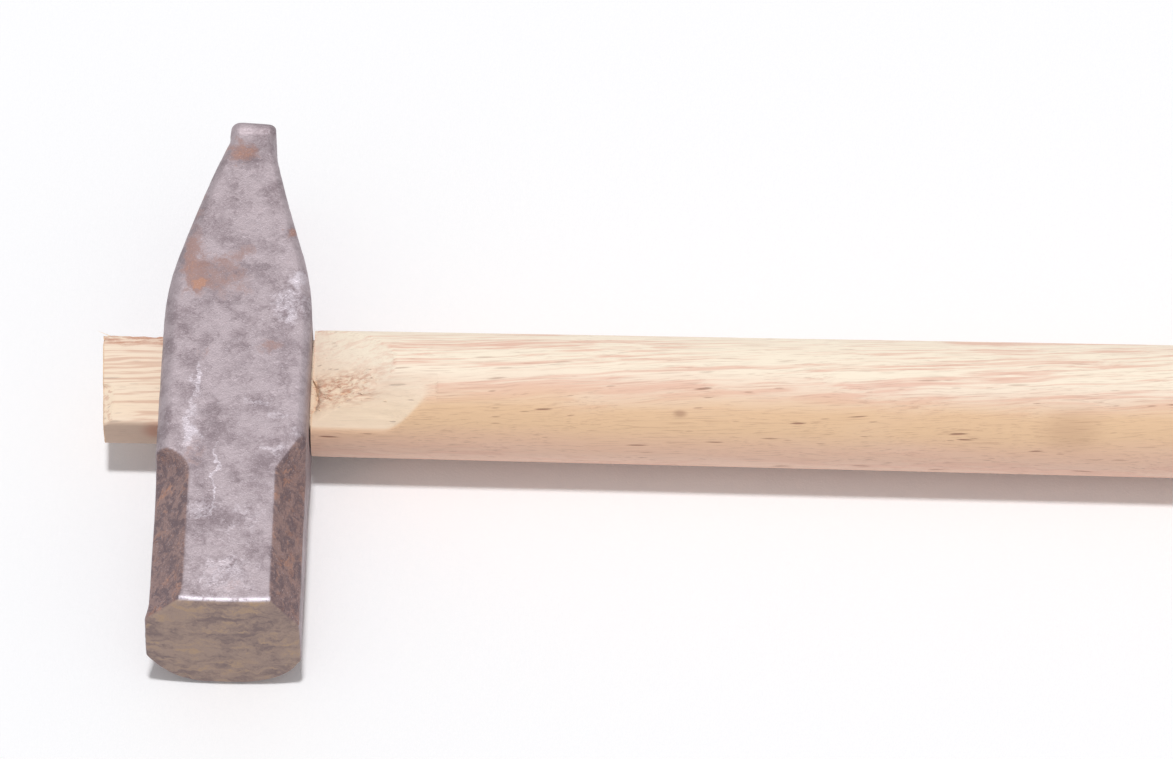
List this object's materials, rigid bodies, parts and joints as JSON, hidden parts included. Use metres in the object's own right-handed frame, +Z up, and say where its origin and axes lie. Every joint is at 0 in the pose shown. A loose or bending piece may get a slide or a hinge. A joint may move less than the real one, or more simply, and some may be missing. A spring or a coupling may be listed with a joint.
{
  "type": "cross-peen smith's hammer",
  "caption": "Square-bodied cross-peen forging hammer with bevelled corners behind the striking face, on a round wooden haft whittled to a flat tenon and held by an iron wedge.",
  "frame": {"origin": "on the lower cheek of the head, the plane it rests on, straight below the middle of the eye", "axes": "+X along the haft towards its butt, +Y towards the peen, so the striking face looks along -Y, and +Z up from the lower cheek to the upper one"},
  "size_m": [0.3198, 0.114, 0.0293],
  "materials": {
    "forged_steel": "bare forged steel, dull with wear, patches of brown rust",
    "haft_wood": "bare sanded pale hardwood with fine brown pore lines",
    "wedge_iron": "bare dull iron"
  },
  "bodies": {
    "root": {"hammer_head": "forged_steel", "haft": "haft_wood", "end_wedge": "wedge_iron"}
  },
  "joints": []
}
